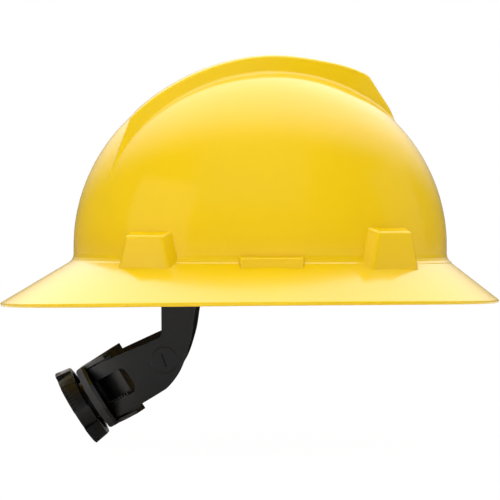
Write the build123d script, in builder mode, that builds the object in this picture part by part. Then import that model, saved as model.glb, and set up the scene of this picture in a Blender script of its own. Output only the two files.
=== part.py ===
# Full brim hard hat: a moulded shell, a webbing suspension and a nape ratchet.
# Millimetres. +X is the front, +Y is the wearer's left, +Z is up.
# The origin is the centre of the head opening, level with the rear edge of the brim.
from build123d import *
from math import acos, cos, degrees, pi, radians, sin, sqrt, tan
import os

os.makedirs("parts", exist_ok=True)

# Dome of the shell
dome_half_length = 117.5
dome_half_width = 102.0
dome_rise = 113.0
dome_level = 37.0
dome_centre = 6.4
shell_wall = 2.5
root_level = 28.3
root_cove = 6.0
root_cove_steps = 3

# Brim
brim_front = 156.5
brim_rear = 157.0
brim_half_width = 140.0
brim_wall = 2.5
brim_front_slope = 37.8
brim_rear_slope = 30.7
brim_side_slope = 31.0
brim_overlap_share = 0.03
lip_fillet = 1.1

# Raised crest on the crown
crest_axis_level = -100.0
crest_plan_level = 160.0
crest_plan_depth = 90.0
crest_wall_draft = 20.0
crest_corner_fillet = 9.0
crest_edge_fillet = 3.0
crest_foot_fillet = 4.0
crest_rear_shares = (-0.7353, 0.5398)
crest_edge_share = 0.45
crest_apex_fillet = 6.0
crest_line_shares = [(-0.778, 0.593), (-0.656, 0.7558), (-0.4843, 0.8903), (-0.2689, 0.9956),
                     (0.08, 1.0575), (0.3217, 1.0292), (0.4826, 0.9903), (0.5796, 0.9487)]
crest_slope_share = (0.7796, 0.6283)
on_dome_share = 0.002
crest_plan_shares = [(0.618, 0.0, 1.0), (0.226, 0.209, 0.35), (-0.119, 0.297, 0.1), (-0.463, 0.3, 0.0),
                     (-0.82, 0.196, 0.0)]

# Four raised housings on the shell that hold the suspension keys
lug_front_x = 83.0
lug_rear_x = -60.0
lug_front_lift = 2.3
lug_proud = 6.5
lug_half_base = 19.2
lug_half_top = 12.8
lug_flank = 2.0
lug_foot = 20.0
lug_top = 43.2
lug_bevel = 3.0
lug_edge_fillet = 2.4

# Accessory slots, one in each side of the shell
slot_block_x = 12.7
slot_block_length = 37.0
slot_block_foot = 20.0
slot_block_top = 30.5
slot_block_proud = 5.5
slot_block_flank = 1.0
slot_edge_fillet = 1.0
slot_length = 30.0
slot_gap = 2.8
slot_top = 28.0

# Pockets behind the raised housings, open below and through a narrower mouth to the inside
pocket_depth = 4.0
pocket_half_foot = 17.0
pocket_half_top = 11.2
pocket_top = 40.5
mouth_half = 10.5
mouth_top = 37.0

# Headband and its brow pad
band_gap = 10.0
band_wall = 2.0
band_foot = 5.5
band_top = 30.0
band_rear_x = -72.0
vent_length = 16.0
vent_height = 5.0
vent_corner = 2.0
vent_level = 16.0
vent_places = [-34.0, -9.0, 16.0]
pad_thickness = 4.0
pad_foot = 6.0
pad_top = 38.0
pad_rear_x = 38.0
pad_edge_fillet = 1.5
soft_gap = 0.3

# Suspension keys
key_clearance = 0.4
key_plate_wall = 2.5
key_plate_half = 13.0
key_plate_foot = 8.0
key_plate_top = 50.0
key_corner = 4.0
key_slot_foot = 42.0
key_bar_height = 3.5
peg_level = 17.0
peg_radius = 2.6
peg_gap = 0.2

# Crown straps of woven webbing
webbing_width = 19.0
webbing_wall = 1.3
webbing_crown = 116.0
webbing_cross_gap = 1.0

# Nape ratchet: its plane tilts down to the rear
ratchet_tilt = 31.5
ratchet_x = -92.3
ratchet_z = -55.3
ring_radius = 80.0
ring_to_rim = 77.9
strap_wall = 1.8
strap_gap = 0.3
strap_front_x = -31.9
strap_rear_x = -53.0
strap_top = 3.4
strap_half_height = 17.5
strap_foot_half = 16.3
strap_foot_reach = 38.0
strap_corner_z = -17.2
strap_knee = 12.0
strap_tail_corner = 5.0
strap_front_shares = [(0.092, 0.205), (0.159, 0.377), (0.277, 0.548), (0.46, 0.74), (0.7, 0.885)]
strap_tail_turn = 13.0
strap_arc_turn = 73.0
strap_reach = 45.0
strap_corner = 4.0
window_half = 8.6
window_tail_turn = 7.0
teeth_behind = 3
teeth_ahead = 19
window_front_turn = 48.5
window_fillet = 5.0

# Pinion and rack teeth
tooth_module = 1.0
pinion_teeth = 14
tooth_height_share = 0.8
tooth_root_share = 1.15
tooth_play = 0.15
tooth_angle = 20.0
tooth_inset = 0.1
tooth_embed = 0.5
pinion_root = 5.75
pinion_tip = 8.0
pinion_foot = -0.7
pinion_top = 4.25
recess_radius = 8.6
recess_floor = -1.0
journal_foot = -2.7

# Ratchet housing, guide plate and click ring
guide_wall = 2.2
guide_turn = 41.0
guide_half_height = 20.5
channel_half = 18.4
lip_reach = 0.65
tongue_place = 14.0
tongue_half_width = 4.0
tongue_depth = 2.5
tongue_gap = 0.15
cover_half_length = 39.0
cover_half_height = 20.6
cover_hollow_half = 26.6
cover_depth = 6.6
cover_ceiling = 4.5
cover_corner_length = 12.0
cover_corner_height = 12.0
cover_bevel = 4.5
cover_edge_chamfer = 1.0
boss_radius = 12.5
boss_height = 5.1
boss_chamfer = 0.5
cup_radius = 11.05
cup_floor = 8.4
ring_fit = 0.05
click_teeth = 24
click_root_radius = 10.2
click_tip_radius = 9.4
click_height = 3.0

# Knob, its drive and its cap
knob_radius = 25.7
knob_foot_radius = 24.1
knob_foot = 10.4
knob_web = 12.1
knob_face = 20.4
knob_pads = 5
knob_gap_turn = 29.0
knob_gap_depth = 2.4
knob_ribs = 9
rib_groove_radius = 0.75
knob_edge_fillet = 0.8
knob_dish_radius = 18.0
knob_dish_depth = 1.2
knob_hollow_radius = 20.5
knob_hollow_inner = 9.0
knob_hollow_depth = 4.0
hub_radius = 5.0
hub_foot = 8.8
shaft_radius = 4.0
shaft_fit = 0.05
shaft_top = 14.0
shaft_shoulder = 8.6
drive_width = 5.4
journal_radius = 3.0
cap_radius = 8.0
cap_wall = 1.5
cap_fit = 0.1
screw_radius = 1.5
screw_head_radius = 3.2
screw_head_height = 1.8
screw_floor = 15.6
screw_depth = 9.0
screw_fit = 0.1
screw_cross_length = 3.6
screw_cross_width = 0.9
screw_cross_depth = 1.1
pawl_foot = 8.9
pawl_height = 2.0
pawl_wall = 1.3
pawl_arms = 3
pawl_tip_gap = 0.3
pawl_arm_width = 1.1
pawl_arm_turn = 80.0
pawl_arm_shares = [(0.0, 0.0), (0.5, 0.3), (0.85, 0.65), (1.0, 1.0)]

# Overrun used by all cuts
overrun = 6.0


def dome_half_at(x, inset=0.0):
    # Half width of the dome's oval at a place along the hat, drawn in by an inset
    half_length = dome_half_length - inset
    half_width = dome_half_width - inset
    return half_width * sqrt(1 - ((x - dome_centre) / half_length) ** 2)


def dome_solid(inset, foot, cove=0.0):
    # Half ellipse over a short straight wall, turned about the crown and squashed sideways.
    # A cove flares the wall's foot into the slope of the brim.
    half_length = dome_half_length - inset
    half_width = dome_half_width - inset
    rise = dome_rise - inset
    with BuildPart() as dome:
        with BuildSketch(Plane.XZ):
            with BuildLine():
                EllipticalCenterArc((0, dome_level), half_length, rise, 0, arc_size=90)
                if cove:
                    slope = radians(brim_side_slope)
                    reach = cove * (1 - sin(slope))
                    start = (half_length, root_level + cove * cos(slope) - reach * tan(slope))
                    flare = []
                    for step in range(root_cove_steps + 1):
                        turn = radians((90 - brim_side_slope) * step / root_cove_steps)
                        flare.append((start[0] + cove - cove * cos(turn), start[1] - cove * sin(turn)))
                    Polyline((half_length, dome_level), *flare, (flare[-1][0], foot), (0, foot),
                             (0, dome_level + rise))
                else:
                    Polyline((0, dome_level + rise), (0, foot), (half_length, foot),
                             (half_length, dome_level))
            make_face()
        revolve(axis=Axis.Z)
    squashed = dome.part.scale((1, half_width / half_length, 1))
    return squashed.moved(Location((dome_centre, 0, 0)))


# Drop of the brim's cone, deep enough to reach the brim's outline all round
brim_trim_drop = overrun + max(
    (brim_front - dome_centre - dome_half_length) * tan(radians(brim_front_slope)),
    (brim_rear + dome_centre - dome_half_length) * tan(radians(brim_rear_slope)),
    (brim_half_width - dome_half_width) * tan(radians(brim_side_slope)))


def brim_solid(drop):
    # Cone between the oval at the dome's foot and a wider oval below, trimmed later to the brim's outline
    front = dome_centre + dome_half_length
    rear = dome_half_length - dome_centre
    low_front = front + brim_trim_drop / tan(radians(brim_front_slope))
    low_rear = rear + brim_trim_drop / tan(radians(brim_rear_slope))
    low_side = dome_half_width + brim_trim_drop / tan(radians(brim_side_slope))
    low_centre = (low_front - low_rear) / 2
    low_half = (low_front + low_rear) / 2
    share = brim_overlap_share
    top_centre = dome_centre + (dome_centre - low_centre) * share
    top_half = dome_half_length + (dome_half_length - low_half) * share
    top_side = dome_half_width + (dome_half_width - low_side) * share
    with BuildPart() as brim:
        with BuildSketch(Plane.XY.offset(root_level + brim_trim_drop * share - drop)):
            with Locations((top_centre, 0)):
                Ellipse(top_half, top_side)
        with BuildSketch(Plane.XY.offset(root_level - brim_trim_drop - drop)):
            with Locations((low_centre, 0)):
                Ellipse(low_half, low_side)
        loft(ruled=True)
    return brim.part


def on_dome(spot):
    # True for a point on the dome's outside
    span = ((spot.X - dome_centre) / dome_half_length) ** 2 + (spot.Y / dome_half_width) ** 2
    return abs(span + ((spot.Z - dome_level) / dome_rise) ** 2 - 1) < on_dome_share


def crest_plan(level, grow):
    # Plan of the crest: a V with its point at the front, mirrored about the hat's middle
    points = []
    for x_share, y_share, x_lean_share in crest_plan_shares:
        lean = sqrt(1 - x_lean_share ** 2)
        points.append((dome_centre + x_share * dome_half_length + grow * x_lean_share,
                       y_share * dome_half_width + grow * lean))
    with BuildSketch(Plane.XY.offset(level)) as plan:
        with BuildLine():
            left = Spline(points)
            mirror(left, about=Plane.XZ)
            Line(points[-1], (points[-1][0], -points[-1][1]))
        make_face()
        fillet(plan.vertices().sort_by(Axis.X)[-1:], radius=crest_apex_fillet)
    return plan.sketch


def crest_solid(inset):
    # Side line of the crest turned about a lengthwise axis, then cut to its plan with drafted walls
    def side(share):
        return (dome_centre + share[0] * dome_half_length, dome_level + share[1] * dome_rise - inset)
    top_line = [side(share) for share in crest_line_shares]
    slope_end = (side(crest_slope_share)[0] - inset, side(crest_slope_share)[1])
    with BuildPart() as crest:
        with BuildSketch(Plane.XZ) as profile:
            with BuildLine():
                Spline(top_line)
                Polyline(top_line[-1], slope_end, (slope_end[0], crest_axis_level),
                         (top_line[0][0], crest_axis_level), top_line[0])
            make_face()
            fillet(profile.vertices().sort_by(Axis.Y)[-1:], radius=crest_corner_fillet)
        revolve(axis=Axis((0, 0, crest_axis_level), (1, 0, 0)))
        lean = tan(radians(crest_wall_draft))
        plan_head = crest_plan(crest_plan_level, -inset)
        plan_foot = crest_plan(crest_plan_level - crest_plan_depth, crest_plan_depth * lean - inset)
        add(loft([plan_head, plan_foot], ruled=True, mode=Mode.PRIVATE), mode=Mode.INTERSECT)
        # Rear wall, leaning forward by the same draft
        rear_x = dome_centre + crest_rear_shares[0] * dome_half_length + inset
        rear_level = dome_level + crest_rear_shares[1] * dome_rise
        rear_foot = (rear_x - (rear_level - dome_level) * lean, dome_level)
        rear_head = (rear_x + (crest_plan_level - rear_level) * lean, crest_plan_level)
        with BuildSketch(Plane.XZ):
            with BuildLine():
                Polyline(rear_foot, rear_head, (-2 * dome_half_length, crest_plan_level),
                         (-2 * dome_half_length, dome_level), close=True)
            make_face()
        extrude(amount=dome_half_width, both=True, mode=Mode.SUBTRACT)
        if not inset:
            tops = crest.edges().filter_by(lambda edge: edge.center().Z > dome_level + crest_edge_share * dome_rise)
            fillet(tops, radius=crest_edge_fillet)
    return crest.part


def wall_plane(x, side):
    # Upright plane on the dome's oval: x runs round the shell, y is up, z points outward
    y = dome_half_at(x)
    normal = Vector((x - dome_centre) / dome_half_length ** 2, side * y / dome_half_width ** 2, 0)
    return Plane(origin=(x, side * y, 0), x_dir=Vector(0, 0, 1).cross(normal), z_dir=normal)


def tapered_block(plane, sizes, base_grow, depth, top_grow, edge_fillet):
    # Four sided block from the shell's wall out to a smaller face; sizes are half foot, half top, foot, top
    half_foot, half_top, foot, top = sizes
    with BuildPart() as block:
        with BuildSketch(plane.offset(-shell_wall / 2)):
            with BuildLine():
                Polyline((-half_foot - base_grow, foot), (half_foot + base_grow, foot),
                         (half_top + base_grow, top + top_grow), (-half_top - base_grow, top + top_grow),
                         close=True)
            make_face()
        with BuildSketch(plane.offset(depth)):
            with BuildLine():
                Polyline((-half_foot, foot), (half_foot, foot), (half_top, top), (-half_top, top), close=True)
            make_face()
        loft(ruled=True)
        rim = block.faces().sort_by(Axis(plane.origin, plane.z_dir))[-1].edges()
        uprights = block.edges().filter_by(lambda edge: abs(edge.tangent_at(0.5).dot(plane.z_dir)) > 0.5)
        fillet(rim + uprights, radius=edge_fillet)
    return block.part


lug_places = [("front_left", lug_front_x, 1), ("front_right", lug_front_x, -1),
              ("rear_left", lug_rear_x, 1), ("rear_right", lug_rear_x, -1)]
slot_block_sizes = (slot_block_length / 2, slot_block_length / 2, slot_block_foot, slot_block_top)

# Brim: a cone of even thickness, trimmed to the hat's outline, which lifts the sides a little
brim_drop = brim_wall / cos(radians(brim_side_slope))
with BuildPart() as brim:
    add(brim_solid(0.0))
    add(brim_solid(brim_drop), mode=Mode.SUBTRACT)
    with BuildSketch(Plane.XY.offset(-brim_trim_drop)):
        with Locations(((brim_front - brim_rear) / 2, 0)):
            Ellipse((brim_front + brim_rear) / 2, brim_half_width)
    extrude(amount=2 * brim_trim_drop + root_level, mode=Mode.INTERSECT)
    with BuildSketch(Plane.XY.offset(-brim_trim_drop)):
        with Locations((dome_centre, 0)):
            Ellipse(dome_half_length - shell_wall / 2, dome_half_width - shell_wall / 2)
    extrude(amount=2 * brim_trim_drop + root_level, mode=Mode.SUBTRACT)
    rims = brim.edges().filter_by(lambda edge: edge.bounding_box().size.X > brim_front + brim_rear - overrun)
    fillet(rims, radius=lip_fillet)

# Shell: one moulding, its inside follows the outside at the wall thickness
with BuildPart() as shell:
    add(dome_solid(0.0, root_level - brim_drop, cove=root_cove))
    for name, x, side in lug_places:
        top = lug_top + (lug_front_lift if x > dome_centre else 0)
        lug_sizes = (lug_half_base, lug_half_top, lug_foot, top)
        add(tapered_block(wall_plane(x, side), lug_sizes, lug_flank, lug_proud, lug_bevel, lug_edge_fillet))
    for side in (1, -1):
        add(tapered_block(wall_plane(slot_block_x, side), slot_block_sizes, slot_block_flank,
                          slot_block_proud, slot_block_flank, slot_edge_fillet))
    add(crest_solid(0.0))
    fillet([edge for edge in shell.edges()
            if edge.center().Z > dome_level + crest_edge_share * dome_rise and on_dome(edge.position_at(0.5))],
           radius=crest_foot_fillet)
    add(dome_solid(shell_wall, -overrun), mode=Mode.SUBTRACT)
    add(crest_solid(shell_wall), mode=Mode.SUBTRACT)
    add(brim.part)
    for name, x, side in lug_places:
        plane = wall_plane(x, side)
        with BuildSketch(plane):
            with BuildLine():
                Polyline((-pocket_half_foot, -overrun), (pocket_half_foot, -overrun),
                         (pocket_half_foot, lug_foot), (pocket_half_top, pocket_top),
                         (-pocket_half_top, pocket_top), (-pocket_half_foot, lug_foot), close=True)
            make_face()
        extrude(amount=pocket_depth, mode=Mode.SUBTRACT)
        with BuildSketch(plane):
            with BuildLine():
                Polyline((-mouth_half, -overrun), (mouth_half, -overrun), (mouth_half, mouth_top),
                         (-mouth_half, mouth_top), close=True)
            make_face()
        extrude(amount=-2 * overrun, mode=Mode.SUBTRACT)
    for side in (1, -1):
        plane = wall_plane(slot_block_x, side)
        with BuildSketch(plane.offset(slot_block_proud - shell_wall / 2 - slot_gap)):
            with BuildLine():
                Polyline((-slot_length / 2, -overrun), (slot_length / 2, -overrun),
                         (slot_length / 2, slot_top), (-slot_length / 2, slot_top), close=True)
            make_face()
        extrude(amount=slot_gap, mode=Mode.SUBTRACT)
shell.part.label = "shell"
export_step(shell.part, "parts/shell.step")


# Headband: an open loop that follows the shell's oval inside it
key_planes = {name: wall_plane(x, side) for name, x, side in lug_places}
with BuildPart() as headband:
    with BuildSketch(Plane.XY.offset(band_foot)):
        with Locations((dome_centre, 0)):
            outer_inset = band_gap - band_wall / 2
            Ellipse(dome_half_length - outer_inset, dome_half_width - outer_inset)
            Ellipse(dome_half_length - outer_inset - band_wall, dome_half_width - outer_inset - band_wall,
                    mode=Mode.SUBTRACT)
        with Locations((band_rear_x, 0)):
            Rectangle(2 * dome_half_length, 2 * dome_half_width, align=(Align.MAX, Align.CENTER),
                      mode=Mode.SUBTRACT)
    extrude(amount=band_top - band_foot)
    for plane in key_planes.values():
        with BuildSketch(plane.offset(-shell_wall)):
            with Locations((0, peg_level)):
                Circle(peg_radius + peg_gap)
        extrude(amount=-band_gap - band_wall, mode=Mode.SUBTRACT)
    for x in vent_places:
        for side in (1, -1):
            with BuildSketch(wall_plane(x, side)):
                with Locations((0, vent_level)):
                    RectangleRounded(vent_length, vent_height, vent_corner)
            extrude(amount=-band_gap - band_wall, mode=Mode.SUBTRACT)
headband.part.label = "headband"
export_step(headband.part, "parts/headband.step")

# Brow pad: a soft band inside the front of the headband
with BuildPart() as brow_pad:
    with BuildSketch(Plane.XY.offset(pad_foot)):
        with Locations((dome_centre, 0)):
            pad_inset = band_gap + band_wall / 2 + soft_gap
            Ellipse(dome_half_length - pad_inset, dome_half_width - pad_inset)
            Ellipse(dome_half_length - pad_inset - pad_thickness, dome_half_width - pad_inset - pad_thickness,
                    mode=Mode.SUBTRACT)
        with Locations((pad_rear_x, 0)):
            Rectangle(2 * dome_half_length, 2 * dome_half_width, align=(Align.MAX, Align.CENTER),
                      mode=Mode.SUBTRACT)
    extrude(amount=pad_top - pad_foot)
    fillet(brow_pad.edges(), radius=pad_edge_fillet)
brow_pad.part.label = "brow_pad"
export_step(brow_pad.part, "parts/brow_pad.step")


# Suspension keys: a blade in the shell's pocket, a neck through its mouth and a hanger plate inside
plate_out = band_gap - band_wall / 2 - peg_gap - key_plate_wall
for name, plane in key_planes.items():
    with BuildPart() as key:
        with BuildSketch(plane.offset(key_clearance)):
            with BuildLine():
                Polyline((-pocket_half_foot + key_clearance, lug_foot + key_clearance),
                         (pocket_half_foot - key_clearance, lug_foot + key_clearance),
                         (pocket_half_top - key_clearance, pocket_top - key_clearance),
                         (-pocket_half_top + key_clearance, pocket_top - key_clearance), close=True)
            make_face()
        extrude(amount=pocket_depth - 2 * key_clearance)
        with BuildSketch(plane.offset(key_clearance)):
            with Locations((0, lug_foot + key_clearance)):
                Rectangle(2 * (mouth_half - key_clearance), mouth_top - lug_foot - 2 * key_clearance,
                          align=(Align.CENTER, Align.MIN))
        extrude(amount=-plate_out - key_clearance)
        with BuildSketch(plane.offset(-plate_out)):
            with Locations((0, (key_plate_foot + key_plate_top) / 2)):
                RectangleRounded(2 * key_plate_half, key_plate_top - key_plate_foot, key_corner)
            with Locations((0, key_slot_foot)):
                Rectangle(webbing_width + 2 * key_clearance, key_plate_top - key_slot_foot - key_bar_height,
                          align=(Align.CENTER, Align.MIN), mode=Mode.SUBTRACT)
        extrude(amount=-key_plate_wall)
        with BuildSketch(plane.offset(-plate_out - key_plate_wall)):
            with Locations((0, peg_level)):
                Circle(peg_radius)
        extrude(amount=-peg_gap - band_wall)
    key.part.label = name + "_key"
    export_step(key.part, "parts/" + name + "_key.step")


def crown_strap(near, far, rise):
    # Webbing from one key over the crown to the opposite one, looped round each key's top bar
    sides = []
    for plane in (key_planes[near], key_planes[far]):
        inner = plate_out + key_plate_wall + key_clearance + webbing_wall / 2
        sides.append(plane.origin - plane.z_dir * inner)
    middle = (sides[0] + sides[1]) / 2
    along = (sides[1] - sides[0]).normalized()
    across = Plane(origin=(middle.X, middle.Y, 0), x_dir=along, z_dir=along.cross(Vector(0, 0, 1)))
    half_span = (sides[1] - sides[0]).length / 2
    foot = key_plate_top + key_clearance + webbing_wall
    with BuildPart() as strap:
        with BuildSketch(across):
            with Locations((0, foot)):
                Ellipse(half_span + webbing_wall / 2, rise - foot)
                Ellipse(half_span - webbing_wall / 2, rise - foot - webbing_wall, mode=Mode.SUBTRACT)
                Rectangle(2 * rise, 2 * rise, align=(Align.CENTER, Align.MAX), mode=Mode.SUBTRACT)
        extrude(amount=webbing_width / 2, both=True)
        for plane in (key_planes[near], key_planes[far]):
            loop_plane = Plane(origin=plane.origin, x_dir=plane.z_dir, z_dir=-plane.x_dir)
            bar_middle = (-plate_out - key_plate_wall / 2, key_plate_top - key_bar_height / 2)
            inner_size = (key_plate_wall + 2 * key_clearance, key_bar_height + 2 * key_clearance)
            outer_size = (inner_size[0] + 2 * webbing_wall, inner_size[1] + 2 * webbing_wall)
            with BuildSketch(loop_plane):
                with Locations(bar_middle):
                    RectangleRounded(outer_size[0], outer_size[1], webbing_wall)
                    Rectangle(inner_size[0], inner_size[1], mode=Mode.SUBTRACT)
                with Locations((bar_middle[0] - inner_size[0] / 2, foot)):
                    Rectangle(webbing_wall, webbing_wall, align=(Align.MAX, Align.CENTER))
            extrude(amount=webbing_width / 2, both=True)
    return strap.part


crown_strap_lower = crown_strap("front_left", "rear_right", webbing_crown)
crown_strap_lower.label = "crown_strap_lower"
export_step(crown_strap_lower, "parts/crown_strap_lower.step")
crown_strap_upper = crown_strap("front_right", "rear_left", webbing_crown + webbing_wall + webbing_cross_gap)
crown_strap_upper.label = "crown_strap_upper"
export_step(crown_strap_upper, "parts/crown_strap_upper.step")

# Axes of the nape ratchet: forward lies in the plane of the nape ring, upright is square to it
forward = Vector(cos(radians(ratchet_tilt)), 0, sin(radians(ratchet_tilt)))
upright = Vector(-sin(radians(ratchet_tilt)), 0, cos(radians(ratchet_tilt)))
rim_centre = Vector(ratchet_x, 0, ratchet_z)
ring_centre = rim_centre + forward * ring_to_rim
ring_plane = Plane(origin=ring_centre, x_dir=forward, z_dir=upright)
layer_step = (strap_wall + strap_gap) / 2
pitch_radius = tooth_module * pinion_teeth / 2
tooth_pitch = pi * tooth_module
tooth_lean = tan(radians(tooth_angle))


def rear_plane(out):
    # Plane square to the knob's axis: x runs to the wearer's right, y is upright, z points out to the rear
    return Plane(origin=rim_centre - forward * out, x_dir=(0, -1, 0), z_dir=-forward)


def ring_point(radius, turn):
    # Place on the nape ring, turned from its rearmost point towards the wearer's left
    return (-radius * cos(radians(turn)), radius * sin(radians(turn)))


def ring_sector(inner, outer, start, end):
    # Outline in the nape ring's plane between two radii and two turns
    CenterArc((0, 0), outer, 180 - start, start - end)
    CenterArc((0, 0), inner, 180 - start, start - end)
    Line(ring_point(inner, start), ring_point(outer, start))
    Line(ring_point(inner, end), ring_point(outer, end))


def side_point(out, height):
    # Point in side view from its distance behind the housing's rim and its height along the housing
    place = rim_centre - forward * out + upright * height
    return (place.X, place.Z)


def turned_plane():
    # Plane through the knob's axis: x is the distance from the axis and y the distance out to the rear
    return Plane(origin=rim_centre, x_dir=(0, -1, 0), z_dir=-upright)


knob_axis = Axis(rim_centre, -forward)


def nape_strap(side, radius, teeth_side):
    # Thin arm that drops from the headband, bends round the nape and ends in a toothed window
    tail_end = side_point(2 * overrun, strap_half_height)
    top_knee = side_point(-strap_knee, strap_half_height)
    foot_knee = side_point(-strap_foot_reach, -strap_foot_half)
    foot_end = side_point(2 * overrun, -strap_half_height)
    front_top = (strap_front_x, strap_top)
    curve = [front_top]
    for run_share, drop_share in strap_front_shares:
        curve.append((front_top[0] + (foot_knee[0] - front_top[0]) * run_share,
                      front_top[1] + (foot_knee[1] - front_top[1]) * drop_share))
    curve.append(foot_knee)
    with BuildPart() as strap:
        with BuildSketch(ring_plane):
            with BuildLine():
                arc = CenterArc((0, 0), radius, 180 + side * strap_tail_turn,
                                -side * (strap_tail_turn + strap_arc_turn))
                Line(arc @ 1, (arc @ 1) + (arc % 1) * strap_reach)
            trace(line_width=strap_wall)
        extrude(amount=ring_radius, both=True)
        with BuildSketch(Plane.XZ):
            with BuildLine():
                start_way = (curve[1][0] - curve[0][0], curve[1][1] - curve[0][1])
                end_way = (foot_end[0] - foot_knee[0], foot_end[1] - foot_knee[1])
                Spline(curve, tangents=[start_way, end_way])
                Polyline(foot_knee, foot_end, tail_end, top_knee, (strap_rear_x, strap_corner_z),
                         (strap_rear_x, strap_top), front_top)
            make_face()
        extrude(amount=2 * ring_radius, both=True, mode=Mode.INTERSECT)
        # Window with a plain edge and a toothed edge
        toothed_edge = pitch_radius + tooth_root_share * tooth_module
        window_foot = -window_half if teeth_side > 0 else -toothed_edge
        with BuildSketch(ring_plane.offset(window_foot)):
            with BuildLine():
                ring_sector(radius - strap_wall, radius + strap_wall, -side * window_tail_turn,
                            side * window_front_turn)
            make_face()
        extrude(amount=window_half + toothed_edge, mode=Mode.SUBTRACT)
        front_end = ring_plane.from_local_coords(ring_point(radius, side * window_front_turn) + (0,))
        tail = ring_plane.from_local_coords(ring_point(radius, -side * strap_tail_turn) + (0,))
        corner = (strap_rear_x, side * ring_radius, strap_corner_z)
        for place, count, rounding in ((front_end, 2, window_fillet), (tail, 2, strap_tail_corner),
                                       (corner, 1, strap_corner)):
            across = strap.edges().filter_by(lambda edge: abs(edge.length - strap_wall) < soft_gap)
            fillet(across.sort_by_distance(place)[:count], radius=rounding)
        tip = pitch_radius - tooth_height_share * tooth_module
        foot = toothed_edge + tooth_embed
        half_pitch_width = (tooth_pitch / 2 - tooth_play) / 2
        for index in range(-teeth_behind, teeth_ahead):
            turn = side * degrees((index + 1 / 2) * tooth_pitch / radius)
            face = ring_point(radius - strap_wall / 2 + tooth_inset, turn) + (0,)
            outward = -forward * cos(radians(turn)) + Vector(0, 1, 0) * sin(radians(turn))
            plane = Plane(origin=ring_plane.from_local_coords(face), x_dir=upright.cross(outward),
                          z_dir=outward)
            tip_half = half_pitch_width - (pitch_radius - tip) * tooth_lean
            foot_half = half_pitch_width + (foot - pitch_radius) * tooth_lean
            with BuildSketch(plane):
                with BuildLine():
                    Polyline((-tip_half, teeth_side * tip), (tip_half, teeth_side * tip),
                             (foot_half, teeth_side * foot), (-foot_half, teeth_side * foot), close=True)
                make_face()
            extrude(amount=strap_wall - 2 * tooth_inset)
    return strap.part


nape_strap_left = nape_strap(1, ring_radius - layer_step, 1)
nape_strap_left.label = "nape_strap_left"
export_step(nape_strap_left, "parts/nape_strap_left.step")
nape_strap_right = nape_strap(-1, ring_radius + layer_step, -1)
nape_strap_right.label = "nape_strap_right"
export_step(nape_strap_right, "parts/nape_strap_right.step")

# Guide plate: a curved channel inside the straps that closes the ratchet's housing
plate_outer = ring_radius - layer_step - strap_wall / 2 - strap_gap
lip_outer = ring_radius + layer_step + strap_wall / 2 + lip_reach
with BuildPart() as ratchet_guide:
    with BuildSketch(ring_plane.offset(-guide_half_height)):
        with BuildLine():
            ring_sector(plate_outer - guide_wall, lip_outer, -guide_turn, guide_turn)
        make_face()
    extrude(amount=2 * guide_half_height)
    with BuildSketch(ring_plane.offset(-channel_half)):
        with BuildLine():
            ring_sector(plate_outer, lip_outer + overrun, -guide_turn - overrun, guide_turn + overrun)
        make_face()
    extrude(amount=2 * channel_half, mode=Mode.SUBTRACT)
    with BuildSketch(rear_plane(0)):
        Rectangle(2 * ring_radius, 2 * ring_radius)
    extrude(amount=2 * overrun, mode=Mode.SUBTRACT)
    with BuildSketch(rear_plane(recess_floor)):
        Circle(recess_radius)
    extrude(amount=2 * overrun, mode=Mode.SUBTRACT)
    with BuildSketch(rear_plane(-overrun)):
        Circle(journal_radius + shaft_fit)
    extrude(amount=2 * overrun, mode=Mode.SUBTRACT)
    with BuildSketch(rear_plane(-tongue_depth - tongue_gap)):
        for side in (1, -1):
            with Locations((tongue_place, side * channel_half), (-tongue_place, side * channel_half)):
                Rectangle(2 * (tongue_half_width + tongue_gap),
                          2 * (guide_half_height - channel_half + tongue_gap))
    extrude(amount=2 * overrun, mode=Mode.SUBTRACT)
ratchet_guide.part.label = "ratchet_guide"
export_step(ratchet_guide.part, "parts/ratchet_guide.step")

# Housing cover: an eight sided tray with a round boss that carries the click ring
with BuildPart() as ratchet_cover:
    with BuildSketch(rear_plane(0)):
        with BuildLine():
            long_half = cover_half_length - cover_corner_length
            short_half = cover_half_height - cover_corner_height
            Polyline((-long_half, -cover_half_height), (long_half, -cover_half_height),
                     (cover_half_length, -short_half), (cover_half_length, short_half),
                     (long_half, cover_half_height), (-long_half, cover_half_height),
                     (-cover_half_length, short_half), (-cover_half_length, -short_half), close=True)
        make_face()
    extrude(amount=cover_depth)
    rim = ratchet_cover.faces().sort_by(knob_axis)[-1].edges()
    chamfer(rim.filter_by(lambda edge: edge.length < 2 * cover_corner_length), length=cover_bevel)
    rim = ratchet_cover.faces().sort_by(knob_axis)[-1].edges()
    chamfer(rim.filter_by(lambda edge: edge.length > 2 * cover_corner_length), length=cover_edge_chamfer)
    with BuildSketch(rear_plane(cover_depth - cover_edge_chamfer)):
        Circle(boss_radius)
    extrude(amount=boss_height + cover_edge_chamfer)
    chamfer(ratchet_cover.faces().sort_by(knob_axis)[-1].edges(), length=boss_chamfer)
    with BuildSketch(rear_plane(-overrun)):
        Rectangle(2 * cover_hollow_half, 2 * channel_half)
    extrude(amount=overrun + cover_ceiling, mode=Mode.SUBTRACT)
    with BuildSketch(rear_plane(cup_floor)):
        Circle(cup_radius)
    extrude(amount=2 * overrun, mode=Mode.SUBTRACT)
    with BuildSketch(rear_plane(0)):
        Circle(shaft_radius + shaft_fit)
    extrude(amount=2 * overrun, mode=Mode.SUBTRACT)
    with BuildSketch(rear_plane(-tongue_depth)):
        for side in (1, -1):
            middle = side * (channel_half + guide_half_height) / 2
            with Locations((tongue_place, middle), (-tongue_place, middle)):
                Rectangle(2 * tongue_half_width, guide_half_height - channel_half)
    extrude(amount=tongue_depth + cover_edge_chamfer)
ratchet_cover.part.label = "ratchet_cover"
export_step(ratchet_cover.part, "parts/ratchet_cover.step")

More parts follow.
